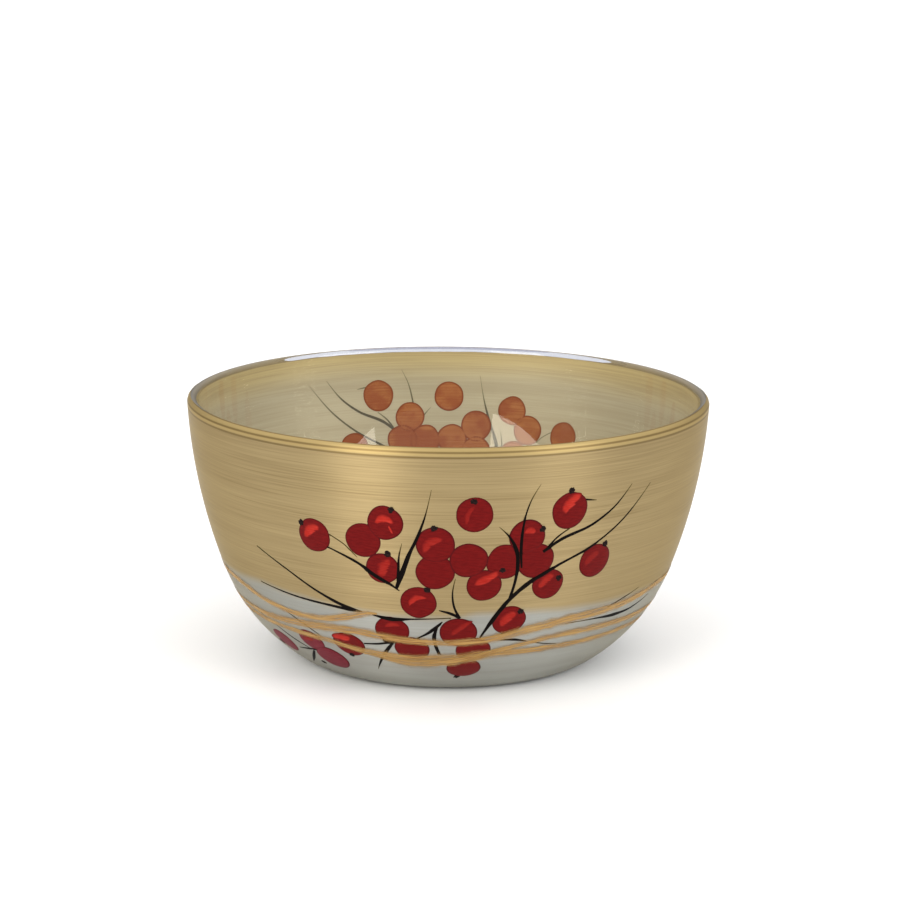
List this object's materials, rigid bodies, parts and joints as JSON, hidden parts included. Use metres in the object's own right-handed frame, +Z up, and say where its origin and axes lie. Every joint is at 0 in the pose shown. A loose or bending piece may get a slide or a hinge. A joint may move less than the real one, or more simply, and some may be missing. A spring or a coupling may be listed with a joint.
{
  "type": "painted glass bowl",
  "caption": "Round clear glass bowl with a gold and silver coat outside, red berry sprays on dark twigs and ochre wisps.",
  "frame": {"origin": "centre of the foot, on the surface that the bowl stands on", "axes": "+Z up along the axis of the bowl, -Y towards the front spray of berries"},
  "size_m": [0.1521, 0.1522, 0.077],
  "materials": {
    "clear_glass": "polished",
    "gold_paint": "satin metallic, brushed on",
    "silver_paint": "satin metallic, brushed on",
    "berry_red": "gloss enamel",
    "gleam_red": "gloss enamel",
    "twig_black": "gloss enamel",
    "ochre_paint": "satin enamel"
  },
  "bodies": {
    "root": {"glass_bowl": "clear_glass", "gold_coat": "gold_paint", "silver_coat": "silver_paint", "silver_dish_coat": "silver_paint", "front_berries": "berry_red", "front_berry_tips": "twig_black", "front_berry_gleams": "gleam_red", "front_twigs": "twig_black", "back_berries": "berry_red", "back_berry_tips": "twig_black", "back_berry_gleams": "gleam_red", "back_twigs": "twig_black", "ochre_wisp_loop": "ochre_paint", "ochre_wisp_winding": "ochre_paint"}
  },
  "joints": []
}
